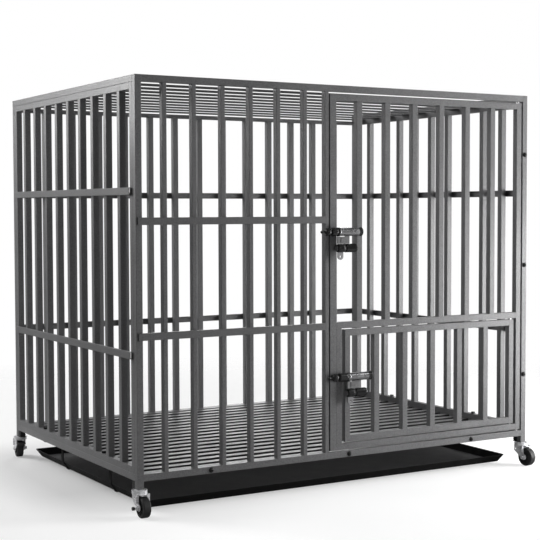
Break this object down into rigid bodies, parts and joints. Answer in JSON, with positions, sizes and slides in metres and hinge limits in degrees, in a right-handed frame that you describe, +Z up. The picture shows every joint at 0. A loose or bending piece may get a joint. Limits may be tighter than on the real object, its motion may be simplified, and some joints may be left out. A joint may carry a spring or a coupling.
{
  "type": "heavy duty dog crate",
  "caption": "Square-tube steel dog crate on casters with barred panels, a full-height door with a feeding door in it, barrel latches, slatted roof and floor and a slide-out tray.",
  "frame": {"origin": "on the ground under the middle of the crate", "axes": "+X along the crate's length, doors on the -Y side, +Z up"},
  "size_m": [1.1274, 0.8408, 0.943],
  "materials": {
    "grey_paint": "satin hammered grey paint",
    "black_steel": "satin black paint",
    "black_hardware": "black oxide",
    "latch_steel": "glossy black",
    "latch_plastic": "glossy black",
    "black_plastic": "matt black",
    "tray_plastic": "fine-grained black",
    "zinc_plate": "bright zinc plate",
    "wheel_rubber": "matt black"
  },
  "bodies": {
    "crate": {"front_posts": "grey_paint", "front_rails": "grey_paint", "door_jamb": "grey_paint", "front_bars": "grey_paint", "rear_posts": "grey_paint", "rear_rails": "grey_paint", "rear_bars": "grey_paint", "left_stiles": "grey_paint", "left_rails": "grey_paint", "left_bars": "grey_paint", "right_stiles": "grey_paint", "right_rails": "grey_paint", "right_bars": "grey_paint", "cross_rails": "grey_paint", "roof_side_tubes": "grey_paint", "roof_rear_tube": "grey_paint", "roof_slats": "grey_paint", "floor_side_tubes": "grey_paint", "floor_cross_tubes": "grey_paint", "floor_slats": "grey_paint", "corner_blocks": "black_plastic", "frame_bolts": "black_hardware", "frame_nuts": "black_hardware", "tray_hangers": "black_steel", "caster_stems": "zinc_plate", "main_latch_keeper": "latch_steel"},
    "main_door": {"main_door_stiles": "grey_paint", "main_door_rails": "grey_paint", "main_door_bars": "grey_paint", "main_door_pins": "zinc_plate", "main_latch_barrel": "latch_steel", "small_latch_keeper": "latch_steel"},
    "main_bolt": {"main_latch_bolt": "latch_steel", "main_latch_grip": "latch_plastic"},
    "main_turn": {"main_latch_turn": "latch_plastic", "main_latch_tab": "zinc_plate"},
    "small_door": {"small_door_stiles": "grey_paint", "small_door_rails": "grey_paint", "small_door_bars": "grey_paint", "small_door_pins": "zinc_plate", "small_latch_barrel": "latch_steel"},
    "small_bolt": {"small_latch_bolt": "latch_steel", "small_latch_grip": "latch_plastic"},
    "small_turn": {"small_latch_turn": "latch_plastic", "small_latch_tab": "zinc_plate"},
    "tray": {"tray": "tray_plastic"},
    "front_left_swivel": {"front_left_fork": "zinc_plate", "front_left_axle": "zinc_plate"},
    "front_left_roller": {"front_left_wheel": "wheel_rubber"},
    "front_right_swivel": {"front_right_fork": "zinc_plate", "front_right_axle": "zinc_plate"},
    "front_right_roller": {"front_right_wheel": "wheel_rubber"},
    "rear_left_swivel": {"rear_left_fork": "zinc_plate", "rear_left_axle": "zinc_plate"},
    "rear_left_roller": {"rear_left_wheel": "wheel_rubber"},
    "rear_left_pedal": {"rear_left_brake": "black_plastic"},
    "rear_right_swivel": {"rear_right_fork": "zinc_plate", "rear_right_axle": "zinc_plate"},
    "rear_right_roller": {"rear_right_wheel": "wheel_rubber"},
    "rear_right_pedal": {"rear_right_brake": "black_plastic"}
  },
  "joints": [
    {"name": "main_door_hinge", "type": "hinge", "parent": "crate", "child": "main_door", "pos_m": [0.5182, -0.3775, 0.508], "axis": [0, 0, 1], "range_deg": [0, 90]},
    {"name": "main_bolt_slide", "type": "slide", "parent": "main_door", "child": "main_bolt", "axis": [-1, 0, 0], "range_m": [0, 0.014]},
    {"name": "main_turn_hinge", "type": "hinge", "parent": "main_bolt", "child": "main_turn", "pos_m": [-0.0337, -0.3975, 0.567], "axis": [-1, 0, 0], "range_deg": [-20, 95]},
    {"name": "small_door_hinge", "type": "hinge", "parent": "main_door", "child": "small_door", "pos_m": [0.4959, -0.3775, 0.244], "axis": [0, 0, 1], "range_deg": [0, 90]},
    {"name": "small_bolt_slide", "type": "slide", "parent": "small_door", "child": "small_bolt", "axis": [-1, 0, 0], "range_m": [0, 0.014]},
    {"name": "small_turn_hinge", "type": "hinge", "parent": "small_bolt", "child": "small_turn", "pos_m": [-0.006, -0.3975, 0.2285], "axis": [-1, 0, 0], "range_deg": [-20, 95]},
    {"name": "tray_slide", "type": "slide", "parent": "crate", "child": "tray", "axis": [0, -1, 0], "range_m": [0, 0.45]},
    {"name": "front_left_swivel_turn", "type": "hinge", "parent": "crate", "child": "front_left_swivel", "pos_m": [-0.5375, -0.3775, 0.051], "axis": [0, 0, 1], "continuous": true},
    {"name": "front_left_wheel_spin", "type": "hinge", "parent": "front_left_swivel", "child": "front_left_roller", "pos_m": [-0.5375, -0.3975, 0.0225], "axis": [1, 0, 0], "continuous": true},
    {"name": "front_right_swivel_turn", "type": "hinge", "parent": "crate", "child": "front_right_swivel", "pos_m": [0.5375, -0.3775, 0.051], "axis": [0, 0, 1], "continuous": true},
    {"name": "front_right_wheel_spin", "type": "hinge", "parent": "front_right_swivel", "child": "front_right_roller", "pos_m": [0.53959, -0.39739, 0.0225], "axis": [0.9945, 0.1045, 0], "continuous": true},
    {"name": "rear_left_swivel_turn", "type": "hinge", "parent": "crate", "child": "rear_left_swivel", "pos_m": [-0.5375, 0.3775, 0.051], "axis": [0, 0, 1], "continuous": true},
    {"name": "rear_left_wheel_spin", "type": "hinge", "parent": "rear_left_swivel", "child": "rear_left_roller", "pos_m": [-0.53403, 0.3972, 0.0225], "axis": [-0.9848, 0.1736, 0], "continuous": true},
    {"name": "rear_left_brake_press", "type": "hinge", "parent": "rear_left_swivel", "child": "rear_left_pedal", "pos_m": [-0.53889, 0.36962, 0.0407], "axis": [0.9848, -0.1736, 0], "range_deg": [0, 15]},
    {"name": "rear_right_swivel_turn", "type": "hinge", "parent": "crate", "child": "rear_right_swivel", "pos_m": [0.5375, 0.3775, 0.051], "axis": [0, 0, 1], "continuous": true},
    {"name": "rear_right_wheel_spin", "type": "hinge", "parent": "rear_right_swivel", "child": "rear_right_roller", "pos_m": [0.5375, 0.3975, 0.0225], "axis": [-1, 0, 0], "continuous": true},
    {"name": "rear_right_brake_press", "type": "hinge", "parent": "rear_right_swivel", "child": "rear_right_pedal", "pos_m": [0.5375, 0.3695, 0.0407], "axis": [1, 0, 0], "range_deg": [0, 15]}
  ]
}
